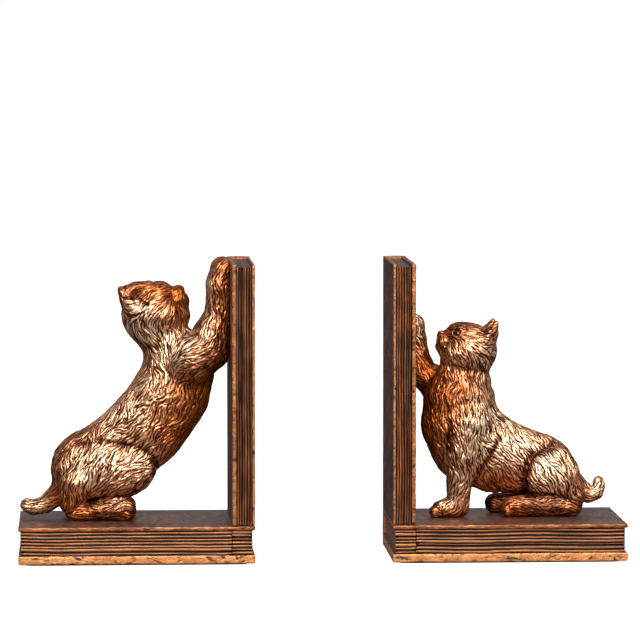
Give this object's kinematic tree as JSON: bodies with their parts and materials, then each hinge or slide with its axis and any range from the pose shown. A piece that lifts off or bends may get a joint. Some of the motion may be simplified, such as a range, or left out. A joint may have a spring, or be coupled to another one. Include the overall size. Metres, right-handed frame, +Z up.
{
  "type": "book ends",
  "caption": "Pair of heavy cast book ends: fluffy cats in antique copper finish leaning on L-shaped stands made of a lying and a standing book.",
  "frame": {"origin": "on the shelf, under the middle of the pair as stored, midway between the two standing books", "axes": "+X along the shelf from the stretching cat's book end to the crouching cat's, +Y away from the reader, towards the spines, +Z up"},
  "size_m": [0.338, 0.082, 0.1685],
  "materials": {
    "antique_copper_cat": "cold-cast resin with an antique copper finish: near-black recesses, copper mid tone, orange under the chin and on the chest, pale gold rubbed on the raised fur",
    "book_cover": "cold-cast resin, slate-brown fine leather grain with rubbed copper-gold edges",
    "page_edges": "cold-cast resin, carved page lines: bright copper ridges over dark brown grooves",
    "book_spine": "cold-cast resin, dark copper-brown with rubbed raised edges",
    "non_slip_foam": "thin matt black EVA sheet",
    "steel_pins": "plain bright steel dowels"
  },
  "bodies": {
    "left_book_end": {"left_non_slip_pad": "non_slip_foam", "left_base_bottom_cover": "book_cover", "left_base_page_block": "page_edges", "left_base_end_page_block": "page_edges", "left_base_top_cover": "book_cover", "left_base_spine": "book_spine", "left_upright_inner_cover": "book_cover", "left_upright_page_block": "page_edges", "left_upright_outer_cover": "book_cover", "left_upright_spine": "book_spine", "left_upright_pins": "steel_pins", "left_cat_pins": "steel_pins", "left_stretching_cat": "antique_copper_cat"},
    "right_book_end": {"right_non_slip_pad": "non_slip_foam", "right_base_bottom_cover": "book_cover", "right_base_page_block": "page_edges", "right_base_end_page_block": "page_edges", "right_base_top_cover": "book_cover", "right_base_spine": "book_spine", "right_upright_inner_cover": "book_cover", "right_upright_page_block": "page_edges", "right_upright_outer_cover": "book_cover", "right_upright_spine": "book_spine", "right_upright_pins": "steel_pins", "right_cat_pins": "steel_pins", "right_crouching_cat": "antique_copper_cat"}
  },
  "joints": [
    {"name": "book_end_spread", "type": "slide", "parent": "left_book_end", "child": "right_book_end", "axis": [1, 0, 0], "range_m": [-0.0755, 0.225]}
  ]
}
